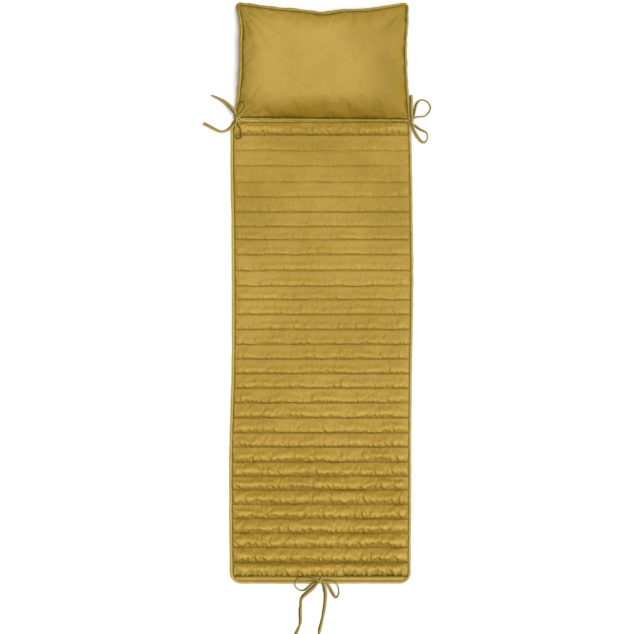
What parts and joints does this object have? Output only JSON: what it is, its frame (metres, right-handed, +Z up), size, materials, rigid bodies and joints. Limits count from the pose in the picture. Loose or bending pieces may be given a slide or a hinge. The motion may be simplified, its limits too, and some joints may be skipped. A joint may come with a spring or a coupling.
{
  "type": "sun lounger cushion",
  "caption": "Long quilted sun lounger pad with crosswise channels, a filled head pillow, piped edges and tied cloth tapes.",
  "frame": {"origin": "middle of the pad's flat underside, where it rests", "axes": "+Y runs along the pad towards the head pillow, +X to the right seen from above, +Z up out of the quilted face"},
  "size_m": [0.7615, 2.1203, 0.0963],
  "materials": {
    "pad_cloth": "mustard woven cloth with a slight sheen",
    "pillow_cloth": "mustard woven cloth with a slight sheen",
    "piping_cloth": "mustard woven cloth drawn round a cord",
    "tape_cloth": "narrow flat mustard tape, edges folded in"
  },
  "bodies": {
    "root": {"mat": "pad_cloth", "mat_piping": "piping_cloth", "pillow": "pillow_cloth", "pillow_piping": "piping_cloth", "tie_left_tape": "tape_cloth", "tie_left_wrap": "tape_cloth", "tie_right_tape": "tape_cloth", "tie_right_wrap": "tape_cloth", "tie_foot_tape": "tape_cloth", "tie_foot_wrap": "tape_cloth"}
  },
  "joints": []
}
